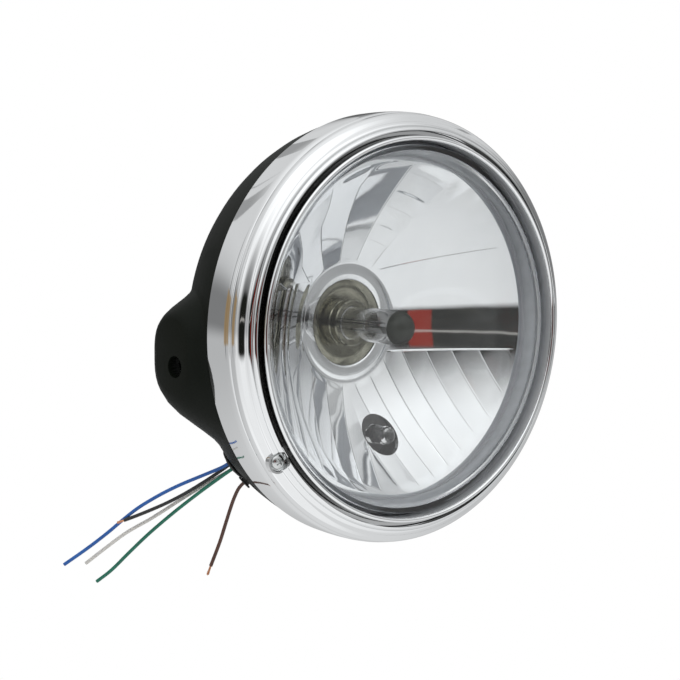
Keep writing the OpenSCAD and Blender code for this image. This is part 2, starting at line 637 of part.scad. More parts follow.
function wire_start(back, lift, side, along) = [for (h = [0, 1.6, 3.2]) exit_point(back, lift + h, side, along)];
module wire(back, lift, side, along, rest)
    tube(refined(concat(wire_start(back, lift, side, along), rest), 2), wire_d / 2);

module wire_blue() color([0.1, 0.35, 0.75]) wire(exit_back, sleeve_len, 1.8, 0.4, blue_end);
module wire_black() color([0.05, 0.05, 0.05]) wire(exit_back, sleeve_len, 0, 1.7, black_end);
module wire_white() color([0.9, 0.9, 0.88]) wire(exit_back, sleeve_len, -2.1, 0.5, white_end);
module wire_green() color([0.05, 0.35, 0.25]) wire(exit_back, sleeve_len, -0.6, -1.7, green_end);
module wire_brown() color([0.35, 0.2, 0.15]) wire(bush_back, 1.8, 0, 0, brown_end);

// Bared copper strands, in line with the wire's last stretch
module bared(rest, n) {
    last = rest[len(rest) - 1];
    way = unit(last - rest[len(rest) - 2]);
    tube([last, last + way * n / 2, last + way * n], wire_d * 0.3, 8);
}
module copper_black() color([0.85, 0.5, 0.3]) bared(black_end, 4);
module copper_brown() color([0.85, 0.5, 0.3]) bared(brown_end, 5);

// Slack wires inside the bucket, from the grommet to the bulb plug and parking lamp
module inner_wires() color([0.2, 0.25, 0.4]) {
    plug_back = base_back + base_len + 0.4 + plug_len - bolt_back;
    for (i = [0:2]) {
        start = exit_point(exit_back, -bowl_wall - 3.4, -2 * (i - 1), 0);
        end = [6 * (i - 1), plug_back, optic_up - 4];
        tube([start, start - 4 * exit_normal(exit_back), mix(start, end, 0.5) + [0, 0, -8],
            end + [0, 6, -2], end + [0, 4, 0], end + [0, 0.1, 0]], wire_d / 2);
    }
}

bucket();
side_nut_left();
side_nut_right();
chrome_rim();
rim_screw();
rim_nut();
adjusting_screw();
adjusting_nut();
adjusting_spring();
pivot_stud_top();
pivot_stud_bottom();
mounting_ring();
lens_clip_top_left();
lens_clip_top_right();
lens_clip_bottom();
lens();
lens_seal();
reflector();
bulb_glass();
bulb_shield();
main_filament();
dip_filament();
bulb_base();
bulb_terminals();
bulb_clip();
dust_boot();
bulb_plug();
parking_bulb();
parking_holder();
wire_grommet();
brown_wire_bush();
inner_wires();
wire_blue();
wire_black();
wire_white();
wire_green();
wire_brown();
copper_black();
copper_brown();
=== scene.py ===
# %% [markdown]
# # Dressing a motorcycle headlight
# The lamp already exists as exact solids. This script gives it the looks: bright
# chrome, clear glass, a faceted mirror, moulded plastic and soft wires.
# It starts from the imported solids, which nothing here moves or changes.

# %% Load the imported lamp
import math
import bpy
from mathutils import Matrix, Vector


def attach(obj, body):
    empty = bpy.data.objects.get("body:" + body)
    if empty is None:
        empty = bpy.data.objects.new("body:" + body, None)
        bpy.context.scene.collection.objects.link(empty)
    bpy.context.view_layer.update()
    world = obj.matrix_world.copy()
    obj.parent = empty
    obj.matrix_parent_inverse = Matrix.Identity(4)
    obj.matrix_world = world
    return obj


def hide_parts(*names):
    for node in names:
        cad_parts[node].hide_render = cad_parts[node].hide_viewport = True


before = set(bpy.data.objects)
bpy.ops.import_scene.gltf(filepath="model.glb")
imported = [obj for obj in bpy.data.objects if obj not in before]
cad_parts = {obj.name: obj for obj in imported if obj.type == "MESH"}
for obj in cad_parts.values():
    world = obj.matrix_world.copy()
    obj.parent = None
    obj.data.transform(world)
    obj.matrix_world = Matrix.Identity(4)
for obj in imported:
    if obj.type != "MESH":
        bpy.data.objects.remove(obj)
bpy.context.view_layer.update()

# %% [markdown]
# ## The camera
# The photograph was taken from the lamp's front left, a little above its middle.
# The place was found by fitting the rim's rings, so it is written as numbers. A long
# lens keeps the rings close to true ellipses.

# %% Camera
portrait = bpy.data.cameras.new("portrait_camera")
portrait.sensor_width = 36
portrait.lens = 134.68
camera = bpy.data.objects.new("portrait_camera", portrait)
bpy.context.scene.collection.objects.link(camera)
camera.location = (-0.7956, -0.9341, 0.1276)
aim = Vector((-0.0249, -0.0214, 0.0089)) - camera.location
camera.rotation_euler = aim.to_track_quat("-Z", "Y").to_euler()
portrait.clip_start = 0.01
bpy.context.scene.camera = camera
print("camera looks", tuple(round(c, 3) for c in aim.normalized()))

# %% [markdown]
# ## Finding places on a round lamp
# Almost everything here is turned about one axis, so places are easiest to give as a
# radius and a distance behind the rim's bead, in millimetres. A seat is a small set of
# axes whose Z is the axis to turn about. The wires leave the bowl at a slant, so their
# seat stands square to the bowl's curved wall.

# %% Seats and places
BEAD_BACK = 43.0
OPTIC_UP = 14.0


def seat_at(origin, along, side=(1, 0, 0)):
    """Axes at origin, in metres, with Z along one direction and X near another."""
    z = Vector(along).normalized()
    x = (Vector(side) - z * Vector(side).dot(z)).normalized()
    axes = Matrix((x, z.cross(x), z)).transposed().to_4x4()
    axes.translation = Vector(origin)
    return axes


LAMP = seat_at((0, -BEAD_BACK / 1000, OPTIC_UP / 1000), (0, 1, 0))

BOWL_R, BOWL_START, BOWL_DEPTH = 100.3, 22.2, 80.0


def bowl_radius(back):
    """Outer radius of the bowl at a distance behind the bead."""
    return BOWL_R * (1 - ((back - BOWL_START) / BOWL_DEPTH) ** 1.9) ** (1 / 1.75)


EXIT_CLOCK = math.radians(228)
OUTWARD = Vector((math.cos(EXIT_CLOCK), 0, math.sin(EXIT_CLOCK)))
SIDEWAYS = Vector((math.sin(EXIT_CLOCK), 0, -math.cos(EXIT_CLOCK)))


def wire_seat(back):
    """Seat on the bowl's wall where wires leave it, Z pointing out of the bowl."""
    slope = math.atan(bowl_radius(back - 0.5) - bowl_radius(back + 0.5))
    normal = math.cos(slope) * OUTWARD + Vector((0, math.sin(slope), 0))
    origin = bowl_radius(back) * OUTWARD + Vector((0, back - BEAD_BACK, OPTIC_UP))
    return seat_at(origin / 1000, normal, SIDEWAYS)


GROMMET = wire_seat(59.0)
BUSH = wire_seat(44.0)
print("grommet at", tuple(round(c * 1000, 1) for c in GROMMET.translation))

# %% [markdown]
# ## Hand tools
# Most pieces below start as one point that is extruded into an outline and spun about
# its seat's axis, as on a lathe. The rest start as cubes and cylinders that are cut
# with each other. A finished piece keeps its place in its mesh, with its object at the
# origin, so that patterns made from its coordinates stay still.

# %% Lathe and cutting tools
def start_clean():
    if bpy.context.object and bpy.context.object.mode != "OBJECT":
        bpy.ops.object.mode_set(mode="OBJECT")
    bpy.ops.object.select_all(action="DESELECT")


def settle(piece, angle=35):
    """Put the piece's place in its mesh and shade it smooth up to an angle."""
    start_clean()
    piece.select_set(True)
    bpy.context.view_layer.objects.active = piece
    bpy.ops.object.transform_apply(location=True, rotation=True, scale=True)
    bpy.ops.object.shade_smooth_by_angle(angle=math.radians(angle))
    return piece


def turned(name, outline, seat=LAMP, steps=192, closed=True, angle=35):
    """Lathe an outline of (radius, height) in millimetres about the seat's Z."""
    start_clean()
    corners = [seat @ (Vector((r, 0, h)) / 1000) for r, h in outline]
    if closed:
        corners.append(corners[0].copy())
    bpy.ops.mesh.primitive_plane_add(size=0.0002, location=corners[0])
    piece = bpy.context.object
    piece.name = name
    bpy.ops.object.mode_set(mode="EDIT")
    bpy.ops.mesh.select_all(action="SELECT")
    bpy.ops.mesh.merge(type="CENTER")
    for here, there in zip(corners, corners[1:]):
        bpy.ops.mesh.extrude_vertices_move(TRANSFORM_OT_translate={"value": there - here})
    bpy.ops.mesh.select_all(action="SELECT")
    bpy.ops.mesh.spin(steps=steps, angle=math.tau, center=seat.translation,
                      axis=(seat @ Vector((0, 0, 1, 0))).xyz)
    bpy.ops.mesh.select_all(action="SELECT")
    bpy.ops.mesh.remove_doubles(threshold=2e-6)
    bpy.ops.mesh.normals_make_consistent(inside=False)
    bpy.ops.object.mode_set(mode="OBJECT")
    return settle(piece, angle)


def bend(centre, radius, start, stop, count):
    """Points of an arc in an outline, angles in degrees from outwards."""
    return [(centre[0] + radius * math.cos(math.radians(start + (stop - start) * i / count)),
             centre[1] + radius * math.sin(math.radians(start + (stop - start) * i / count)))
            for i in range(count + 1)]


def bar(name, low, high, seat=LAMP, bevel=0.0):
    """A block between two corners, in millimetres in its seat."""
    start_clean()
    low, high = Vector(low) / 1000, Vector(high) / 1000
    bpy.ops.mesh.primitive_cube_add(size=1)
    piece = bpy.context.object
    piece.name = name
    piece.matrix_world = (seat @ Matrix.Translation((low + high) / 2)
                          @ Matrix.Diagonal((*(high - low), 1)))
    settle(piece, 30)
    if bevel:
        soften = piece.modifiers.new("soft edges", "BEVEL")
        soften.width = bevel / 1000
        soften.segments = 2
        bpy.ops.object.modifier_apply(modifier=soften.name)
    return piece


def rod(name, radius, low, high, seat=LAMP, place=(0, 0), sides=64):
    """A round bar between two heights, in millimetres in its seat."""
    start_clean()
    bpy.ops.mesh.primitive_cylinder_add(vertices=sides, radius=radius / 1000,
                                        depth=(high - low) / 1000)
    piece = bpy.context.object
    piece.name = name
    piece.matrix_world = seat @ Matrix.Translation(
        Vector((place[0], place[1], (low + high) / 2)) / 1000)
    return settle(piece)


def cut(piece, tool, how="DIFFERENCE", angle=35):
    """Cut one piece with another, or join them, and throw the tool away."""
    start_clean()
    bpy.context.view_layer.objects.active = piece
    piece.select_set(True)
    step = piece.modifiers.new("cut", "BOOLEAN")
    step.operation = how
    step.solver = "EXACT"
    step.object = tool
    bpy.ops.object.modifier_apply(modifier=step.name)
    bpy.data.objects.remove(tool, do_unlink=True)
    bpy.ops.object.shade_smooth_by_angle(angle=math.radians(angle))
    return piece


def cast_from(node, name, angle=40):
    """A copy of a CAD node's mesh, its loose triangles merged and shaded smooth."""
    start_clean()
    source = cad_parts[node]
    piece = source.copy()
    piece.data = source.data.copy()
    piece.name = name
    bpy.context.scene.collection.objects.link(piece)
    piece.parent = None
    piece.matrix_world = source.matrix_world
    bpy.context.view_layer.objects.active = piece
    piece.select_set(True)
    bpy.ops.object.mode_set(mode="EDIT")
    bpy.ops.mesh.select_all(action="SELECT")
    bpy.ops.mesh.remove_doubles(threshold=2e-6)
    bpy.ops.object.mode_set(mode="OBJECT")
    return settle(piece, angle)


def fit(piece, body, finish, slot, *nodes):
    """Dress a finished piece, hang it on its body and hide the nodes it stands for."""
    piece.data.materials.clear()
    piece.data.materials.append(finish)
    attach(piece, body)
    if nodes:
        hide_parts(*nodes)
    return piece

# %% [markdown]
# ## Writing finishes as sums
# A finish is a network of shader nodes. Wiring each by hand is slow to read, so a Tone
# wraps one output and lets plain sums stand for Math nodes. The finish itself makes any
# other node from its type, its settings and what feeds its sockets.

# %% Tones and finishes
class Tone:
    """A number that varies over a surface."""

    def __init__(self, finish, socket):
        self.finish, self.socket = finish, socket

    def _sum(self, kind, *values):
        return self.finish.node("ShaderNodeMath", {"operation": kind},
                                **{"in%d" % i: v for i, v in enumerate(values)})

    def __add__(self, other): return self._sum("ADD", self, other)
    def __radd__(self, other): return self._sum("ADD", other, self)
    def __sub__(self, other): return self._sum("SUBTRACT", self, other)
    def __rsub__(self, other): return self._sum("SUBTRACT", other, self)
    def __mul__(self, other): return self._sum("MULTIPLY", self, other)
    def __rmul__(self, other): return self._sum("MULTIPLY", other, self)
    def __truediv__(self, other): return self._sum("DIVIDE", self, other)
    def __gt__(self, other): return self._sum("GREATER_THAN", self, other)
    def __lt__(self, other): return self._sum("LESS_THAN", self, other)

    def part(self): return self._sum("FRACT", self)
    def size(self): return self._sum("ABSOLUTE", self)
    def root(self): return self._sum("SQRT", self)
    def wave(self): return self._sum("SINE", self)
    def around(self, other): return self._sum("ARCTAN2", self, other)
    def most(self, other): return self._sum("MAXIMUM", self, other)

    def ease(self, low, high, start=0.0, stop=1.0):
        """Go from start to stop, smoothly, as this goes from low to high."""
        return self.finish.node("ShaderNodeMapRange",
                                {"interpolation_type": "SMOOTHSTEP", "clamp": True},
                                in0=self, in1=low, in2=high, in3=start, in4=stop)

    def band(self, foot, full, last, gone):
        """1 from full to last, fading smoothly to 0 at foot and at gone."""
        return self.ease(foot, full) * self.ease(last, gone, 1.0, 0.0)


class Network:
    """Nodes in the making, with x, y and z to work from."""

    def __init__(self, tree, coordinates):
        self.tree = tree
        self.place = tree.nodes.new("ShaderNodeTexCoord").outputs[coordinates]
        split = self.node("ShaderNodeSeparateXYZ", {}, all_outputs=True, Vector=self.place)
        self.x, self.y, self.z = (Tone(self, s) for s in split)

    def feed(self, socket, value):
        if isinstance(value, Tone):
            value = value.socket
        if isinstance(value, bpy.types.NodeSocket):
            self.tree.links.new(value, socket)
        else:
            socket.default_value = value

    def node(self, kind, settings, all_outputs=False, output=0, **sockets):
        """Make a node: its settings first, then its sockets, as inN or by name."""
        made = self.tree.nodes.new(kind)
        for key, value in settings.items():
            setattr(made, key, value)
        for key, value in sockets.items():
            if key.startswith("in") and key[2:].isdigit():
                socket = made.inputs[int(key[2:])]
            else:
                socket = made.inputs[key.replace("_", " ")]
            self.feed(socket, value)
        if all_outputs:
            return list(made.outputs)
        return Tone(self, made.outputs[output])

    def noise(self, scale, detail=2.0, place=None):
        """Cloudy variation from 0 to 1, scale in blotches a metre."""
        return self.node("ShaderNodeTexNoise", {}, Vector=place or self.place, Scale=scale,
                         Detail=detail)

    def blend(self, factor, first, second):
        """A colour between two, as the factor goes from 0 to 1."""
        return self.node("ShaderNodeMix", {"data_type": "RGBA"}, output=2, in0=factor,
                         in6=first, in7=second)

    def picked(self, factor, first, second):
        """One of two shaders, as the factor is 0 or 1."""
        return self.node("ShaderNodeMixShader", {}, in0=factor, in1=first, in2=second)

    def ray(self, kind):
        """1 for rays of one kind, such as Is Shadow Ray."""
        path = self.tree.nodes.new("ShaderNodeLightPath")
        return Tone(self, path.outputs[kind])

    def plain_sight(self):
        """1 for what is seen directly or straight through glass, not in a mirror."""
        straight = self.ray("Is Camera Ray").most(self.ray("Is Transmission Ray"))
        return straight * (self.ray("Glossy Depth") < 0.5)


class Finish(Network):
    """A surface finish with one Principled shader."""

    def __init__(self, name, **plain):
        self.material = bpy.data.materials.new(name)
        self.material.use_nodes = True
        super().__init__(self.material.node_tree, "Object")
        self.shader = next(n for n in self.tree.nodes if n.type == "BSDF_PRINCIPLED")
        self.out = next(n for n in self.tree.nodes if n.type == "OUTPUT_MATERIAL")
        for key, value in plain.items():
            self.shader.inputs[key.replace("_", " ")].default_value = value

    def raised(self, height, distance=0.001, strength=1.0, under=None):
        """A bump from a height given in units of distance metres."""
        extra = {} if under is None else {"Normal": under}
        return self.node("ShaderNodeBump", {}, Strength=strength, Distance=distance,
                         Height=height, **extra)

    def wear(self, **tones):
        """Feed varying tones to the shader's sockets and hand over the material."""
        for key, value in tones.items():
            self.feed(self.shader.inputs[key.replace("_", " ")], value)
        return self.material


def colour(r, g, b):
    return (r, g, b, 1.0)

# %% [markdown]
# ## Chrome
# Plated steel is a mirror with faint flaws: a slow waviness from polishing, which bends
# reflections a little, and fine haze where cloths have been. A plain metal with no
# roughness at all would look like a computer's idea of chrome.

# %% Chrome
def chrome_finish():
    f = Finish("rim_chrome", Metallic=1.0)
    z = f.z - OPTIC_UP / 1000
    away = (f.x * f.x + z * z).root()
    haze = f.noise(60, 4)
    smear = f.noise(9, 2)
    # Painted shade: the lip's wall deep in the narrow channel gets a near-black tint as
    # its shade. Painted light: the inner wall beside the glass gets a pale matt grey,
    # standing in for the light that comes to it through the glass
    deep = f.y.ease(-0.0476, -0.0468)
    bare = away.band(0.0908, 0.0910, 0.0914, 0.0916) * deep
    painted_pale_wall = away.ease(0.0894, 0.0897, 1.0, 0.0) * deep
    rough = 0.026 + haze * 0.03 + smear * 0.02 + bare * 0.2 + painted_pale_wall * 0.35
    tint = f.blend(smear, colour(0.83, 0.84, 0.845), colour(0.9, 0.905, 0.905))
    # Near-black painted shade on the lip's wall deep in the channel
    tint = f.blend(bare, tint, colour(0.02, 0.019, 0.017))
    # Pale grey painted light on the lip's inner wall, with its metal and gloss taken down
    tint = f.blend(painted_pale_wall, tint, colour(0.5, 0.51, 0.52))
    waviness = f.raised(f.noise(26, 1), distance=0.00015, strength=0.4)
    return f.wear(Base_Color=tint, Roughness=rough, Metallic=1 - painted_pale_wall * 0.75, Normal=waviness)


RIM_CHROME = chrome_finish()

# %% [markdown]
# ## Moulded black plastic
# The bucket is thick moulded plastic with a fine spark-eroded grain and a faint green
# cast. The grain is tiny, so it only breaks up highlights. Slow blotches in the
# roughness keep the large curved surface from looking sprayed.

# %% Bucket plastic
def bucket_finish():
    f = Finish("bucket_plastic", Specular_IOR_Level=0.11)
    blotch = f.noise(28, 3)
    grain = f.noise(2600, 2)
    tint = f.blend(blotch, colour(0.0032, 0.0046, 0.003), colour(0.0072, 0.0092, 0.0066))
    rough = 0.4 + blotch * 0.12 + grain * 0.08
    return f.wear(Base_Color=tint, Roughness=rough,
                  Normal=f.raised(grain, distance=0.00005, strength=0.6))


BUCKET_PLASTIC = bucket_finish()

# %% [markdown]
# ## Glass
# The lens is a few millimetres of clear glass. Real light reaches the mirror through
# it, which a renderer finds hard, so for shadows alone the glass counts as clear air.
# Its straight wall, where the seal grips it, is tinted pale grey: painted light
# standing in for the light caught in the thick glass edge.
# The bulb's glass is the same, with its tip painted dark grey to stop glare.

# %% Glass finishes
def clear_to_light(f):
    """The finish's shader, but clear air for shadow rays."""
    air = f.node("ShaderNodeBsdfTransparent", {})
    return f.picked(f.ray("Is Shadow Ray"), f.shader.outputs[0], air)


def lens_finish():
    f = Finish("lens_glass", Transmission_Weight=1.0, IOR=1.5)
    z = f.z - OPTIC_UP / 1000
    away = (f.x * f.x + z * z).root()
    # Painted light: a pale grey blended into the straight wall, for light caught in the glass edge
    painted_pale_edge = away.ease(0.0836, 0.0839) * f.y.ease(-0.0452, -0.0440) * (0.5 + f.noise(180, 3) * 0.3)
    pale_edge_shader = f.node("ShaderNodeBsdfPrincipled", {}, Base_Color=colour(0.66, 0.69, 0.73), Roughness=0.3)
    f.feed(f.out.inputs[0], f.picked(painted_pale_edge, clear_to_light(f), pale_edge_shader))
    tint = f.blend(f.noise(12, 1), colour(0.975, 0.99, 0.99), colour(0.99, 0.995, 0.99))
    return f.wear(Base_Color=tint, Roughness=f.noise(140, 3) * 0.012)


def bulb_glass_finish():
    f = Finish("bulb_glass", Transmission_Weight=1.0, IOR=1.5)
    painted = f.y.ease(-0.0346, -0.0341, 1.0, 0.0)
    paint = f.node("ShaderNodeBsdfPrincipled", {}, Base_Color=colour(0.02, 0.023, 0.016),
                   Roughness=0.34 + f.noise(900, 2) * 0.2)
    f.feed(f.out.inputs[0], f.picked(painted, clear_to_light(f), paint))
    return f.wear(Roughness=f.noise(300, 2) * 0.01)


LENS_GLASS = lens_finish()
BULB_GLASS = bulb_glass_finish()

# %% [markdown]
# ## The mirror's facets
# The reflector is moulded plastic with a bright metal skin. Petals fan out above the
# bulb, a plain field lies beside it, and flutes that spread a little towards the bottom
# fill the rest. Each facet is a shallow swelling with a fine roll along its edges, which
# catches light from the side and draws the bright lines. The height is worked out here
# from the same widths as the solid's, and a bump turns it into shading.

# %% Reflector finish
FLUTE_W, FLUTE_TOP, FIELD_DROP, SPREAD = 0.0109, 0.021, 0.0155, 0.27
PETAL = math.radians(20)


def reflector_finish():
    f = Finish("reflector_metal", Metallic=1.0)
    x, z = f.x, f.z - OPTIC_UP / 1000
    away = (x * x + z * z).root()
    turn = z.around(x)
    low = z < -FIELD_DROP
    left = (x < 0) * (z < FLUTE_TOP)
    fluted = low.most(left)
    fanned = (1 - fluted) * (turn > 3 * PETAL)
    # How far across its facet a point lies, from 0 to 1
    flute = ((x.size() + (z + FIELD_DROP) * SPREAD) / FLUTE_W).part()
    petal = ((turn - 3 * PETAL) / PETAL).part()
    flute_side = (flute * 2 - 1).size()
    petal_side = (petal * 2 - 1).size()
    swell = (1 - flute_side * flute_side) * fluted * 0.00022
    # The petal beside the plain field is crowned in steps, so its dark patches are staggered
    step = (away / 0.0165 + 0.5).part().ease(0.42, 0.5) * (turn < 4 * PETAL)
    swell = swell + (1 - petal_side * petal_side) * fanned * away * (0.0056 + step * 0.0034)
    streak = (((x * 0.35 - z) / 0.0037).wave() + ((x * 0.2 + z) / 0.0023).wave() * 0.5) * 0.00002
    swell = swell + streak * left * away.ease(0.03, 0.05)
    # Fine rolls where facets meet, along the field's lower edge and its thin seam
    roll = flute_side.ease(0.93, 1.0) * fluted + petal_side.ease(0.955, 1.0) * fanned
    ledge = (z + FIELD_DROP).size().ease(0.0, 0.0005, 1.0, 0.0) * (x > 0)
    seam = (z - FLUTE_TOP - x * 0.2).size().ease(0.0, 0.0004, 1.0, 0.0) * (1 - fluted - fanned)
    edge = away.band(0.0288, 0.033, 0.076, 0.0805)
    height = (swell + (roll + ledge) * 0.00016 + seam * 0.00009) * edge
    cloud = f.noise(40, 2)
    face = f.raised(height, distance=1.0)
    ripple = f.raised(cloud, distance=0.0003, strength=0.25, under=face)
    tint = f.blend(cloud, colour(0.84, 0.85, 0.87), colour(0.92, 0.925, 0.93))
    return f.wear(Base_Color=tint, Roughness=0.03 + cloud * 0.03, Normal=ripple)


REFLECTOR_METAL = reflector_finish()

# %% [markdown]
# ## Small metals, rubber and wire
# The small parts are plated steel, dull brass, nylon and rubber. They share a helper
# that takes two close tints and a grain, but each has its own numbers, because zinc
# sparkles, a drawn spring is streaked and rubber is dusty.

# %% Small finishes
def small_metal(name, dark, light, rough, grain, depth):
    f = Finish(name, Metallic=1.0)
    patch = f.noise(grain, 4)
    fine = f.noise(grain * 6, 2)
    return f.wear(Base_Color=f.blend(patch, colour(*dark), colour(*light)),
                  Roughness=rough + patch * 0.12,
                  Normal=f.raised(fine, distance=depth, strength=0.5))


def soft_plastic(name, dark, light, rough, grain, depth):
    f = Finish(name)
    patch = f.noise(grain, 3)
    fine = f.noise(grain * 9, 2)
    return f.wear(Base_Color=f.blend(patch, colour(*dark), colour(*light)),
                  Roughness=rough + patch * 0.12,
                  Normal=f.raised(fine, distance=depth, strength=0.5))


ZINC = small_metal("zinc_plate", (0.58, 0.6, 0.6), (0.8, 0.81, 0.8), 0.16, 500, 0.00002)
RING_STEEL = small_metal("ring_steel", (0.4, 0.41, 0.4), (0.62, 0.63, 0.62), 0.3, 350, 0.00002)
SPRING_STEEL = small_metal("spring_steel", (0.45, 0.45, 0.46), (0.65, 0.65, 0.66), 0.25, 700, 0.00001)
BULB_CAP = small_metal("bulb_cap", (0.15, 0.145, 0.115), (0.34, 0.33, 0.27), 0.08, 260, 0.00002)
TUNGSTEN = small_metal("filament", (0.25, 0.25, 0.26), (0.42, 0.42, 0.42), 0.35, 900, 0.00001)
COPPER = small_metal("bare_copper", (0.62, 0.28, 0.14), (0.9, 0.5, 0.3), 0.2, 900, 0.00001)
NYLON = soft_plastic("nut_nylon", (0.7, 0.69, 0.63), (0.8, 0.79, 0.73), 0.4, 300, 0.00002)
HOLDER = soft_plastic("holder_plastic", (0.025, 0.025, 0.026), (0.06, 0.06, 0.06), 0.4, 300, 0.00002)
PLUG = soft_plastic("plug_plastic", (0.02, 0.02, 0.02), (0.04, 0.04, 0.04), 0.25, 300, 0.00002)
SEAL = soft_plastic("seal_silicone", (0.36, 0.37, 0.4), (0.48, 0.49, 0.52), 0.45, 220, 0.00003)
BOOT = soft_plastic("boot_rubber", (0.02, 0.02, 0.021), (0.05, 0.05, 0.05), 0.6, 220, 0.00005)
GROMMET_RUBBER = soft_plastic("grommet_rubber", (0.014, 0.014, 0.014), (0.035, 0.035, 0.034), 0.55, 240,
                              0.00005)
SHEATHS = {
    "blue": soft_plastic("sheath_blue", (0.006, 0.07, 0.3), (0.015, 0.13, 0.46), 0.3, 200, 0.00002),
    "black": soft_plastic("sheath_black", (0.012, 0.012, 0.013), (0.03, 0.03, 0.03), 0.32, 200, 0.00002),
    "white": soft_plastic("sheath_white", (0.56, 0.54, 0.5), (0.72, 0.7, 0.66), 0.34, 200, 0.00002),
    "green": soft_plastic("sheath_green", (0.0, 0.1, 0.065), (0.01, 0.2, 0.12), 0.3, 200, 0.00002),
    "brown": soft_plastic("sheath_brown", (0.06, 0.026, 0.018), (0.13, 0.06, 0.042), 0.34, 200, 0.00002),
}
print("finishes:", len(bpy.data.materials))

# %% [markdown]
# ## The loose wires
# Five short leads stick out of the bucket's lower left. Each is a soft sheath about
# 1.7 mm thick, and the photograph shows every one from end to end, so that is its
# length. A wire is a curve with a round bevel: it keeps its thickness on every bend.
# The points are joined by a smooth spline and sampled finely, and the finished curve
# is made a mesh, whose box can be measured.

# %% Wire routes
WIRE_R = 0.00085
ROUTES = {
    "blue": [(-68, 28, -57), (-76, 38, -62), (-81, 43, -66), (-85, 49, -70), (-89, 54, -74),
             (-93, 59, -79), (-98, 66, -87), (-104, 73, -94), (-112, 83, -103)],
    "black": [(-65.5, 32, -61.5), (-73, 38, -67), (-78, 43, -71), (-83, 48, -74), (-90, 54, -78),
              (-94, 58, -80)],
    "white": [(-64, 34, -63), (-73, 43, -71), (-78, 48, -76), (-83, 54, -81), (-87, 58, -84),
              (-91, 62, -87), (-96, 69, -94), (-102, 79, -103)],
    "green": [(-68, 31, -65), (-71, 38, -71), (-74, 44, -76), (-78, 50, -82), (-81, 56, -88),
              (-87, 66, -98), (-91, 73, -108), (-95, 80, -113)],
    "brown": [(-68, 6, -66), (-69, 7, -72), (-71, 9, -79), (-72, 10, -86), (-74, 12, -92),
              (-76, 13, -98)],
}
STARTS = {"blue": (GROMMET, 3.4, 1.8, 0.4), "black": (GROMMET, 3.4, 0, 1.7),
          "white": (GROMMET, 3.4, -2.1, 0.5), "green": (GROMMET, 3.4, -0.6, -1.7),
          "brown": (BUSH, 1.8, 0, 0)}
STRAND_R = 0.00017
BARE_LENGTHS = {"black": 0.004, "brown": 0.005}


def smooth_route(points, per_span):
    """Points along a Catmull-Rom spline through the given points."""
    fine = []
    last = len(points) - 1
    for i in range(last):
        a, b = points[max(i - 1, 0)], points[i]
        c, d = points[i + 1], points[min(i + 2, last)]
        for j in range(per_span):
            t = j / per_span
            fine.append(0.5 * (2 * b + (c - a) * t + (2 * a - 5 * b + 4 * c - d) * t * t
                               + (3 * b - a - 3 * c + d) * t ** 3))
    return fine + [points[last]]


def relaxed(points):
    """A stiff wire has no small kinks: each point moves towards its neighbours' middle."""
    return (points[:2] + [(a + 2 * b + c) / 4 for a, b, c in zip(points[1:], points[2:], points[3:])]
            + points[-1:])


def wire_points(hue):
    """The whole route of one wire, in metres, straight out of its hole first."""
    seat, lift, side, along = STARTS[hue]
    out = [seat @ (Vector((side, along, lift + h)) / 1000) for h in (0, 1.6, 3.2)]
    return smooth_route(relaxed(out + [Vector(p) / 1000 for p in ROUTES[hue]]), 4)


def run_length(points):
    return sum((b - a).length for a, b in zip(points, points[1:]))


print({c: round(run_length(wire_points(c)) * 1000) for c in ROUTES}, "mm long")

# %% Draw the wires
def drawn(name, lines, radius, resolution=6):
    """Round wire along one or more lines of points."""
    curve = bpy.data.curves.new(name, "CURVE")
    curve.dimensions = "3D"
    curve.bevel_depth = radius
    curve.bevel_resolution = resolution
    curve.use_fill_caps = True
    for line in lines:
        spline = curve.splines.new("POLY")
        spline.points.add(len(line) - 1)
        for point, place in zip(spline.points, line):
            point.co = (*place, 1)
        spline.use_smooth = True
    piece = bpy.data.objects.new(name, curve)
    bpy.context.scene.collection.objects.link(piece)
    start_clean()
    piece.select_set(True)
    bpy.context.view_layer.objects.active = piece
    bpy.ops.object.convert(target="MESH")
    return bpy.context.object


def strands(name, hue, length):
    """Seven bare copper strands twisted together, beyond a wire's end."""
    end, before = Vector(ROUTES[hue][-1]) / 1000, Vector(ROUTES[hue][-2]) / 1000
    seat = seat_at(end, end - before)
    lines = []
    for k in range(7):
        lay = 0.0 if k == 0 else 2 * STRAND_R
        reach = length * (1.0 - 0.06 * (k % 3))
        line = []
        for i in range(13):
            t = i / 12
            turn = k * math.tau / 6 + 2.2 * t
            spread = lay * (1 + 0.45 * t * t)
            line.append(seat @ Vector((spread * math.cos(turn), spread * math.sin(turn),
                                       t * reach - 0.0004)))
        lines.append(line)
    return drawn(name, lines, STRAND_R, 3)


wires = {c: drawn("sheath_" + c, [wire_points(c)], WIRE_R) for c in ROUTES}
bare = {c: strands("copper_" + c + "_strands", c, length) for c, length in BARE_LENGTHS.items()}
for hue, wire in wires.items():
    fit(wire, "housing", SHEATHS[hue], "wire_" + hue, "wire_" + hue)
for hue, ends in bare.items():
    fit(ends, "housing", COPPER, "bare_copper", "copper_" + hue)
for hue, wire in wires.items():
    line = wire_points(hue)
    run_length(line)
    [bare[hue]] if hue in bare else []
print("wires:", len(wires), "bare ends:", len(bare))

# %% [markdown]
# ## The chrome rim
# One pressed ring of sheet steel: a flat side band, a round shoulder, then two low
# crowned bands with fine grooves between them, a deep narrow channel and a rolled lip
# that turns back round the glass. It is spun from its section. The adjusting screw sits
# in a small round pocket pressed into the shoulder, which is made as a cup, joined on
# and then hollowed.

# %% Chrome rim
BEAD_R, RIM_WALL, BAND_DEPTH, LIP_EDGE_R = 98.0, 0.9, 24.2, 89.1
SHOULDER = (96.7, 6.0)
FACE_RUN = 9.94
SLANT = Vector((-0.805, -0.594))


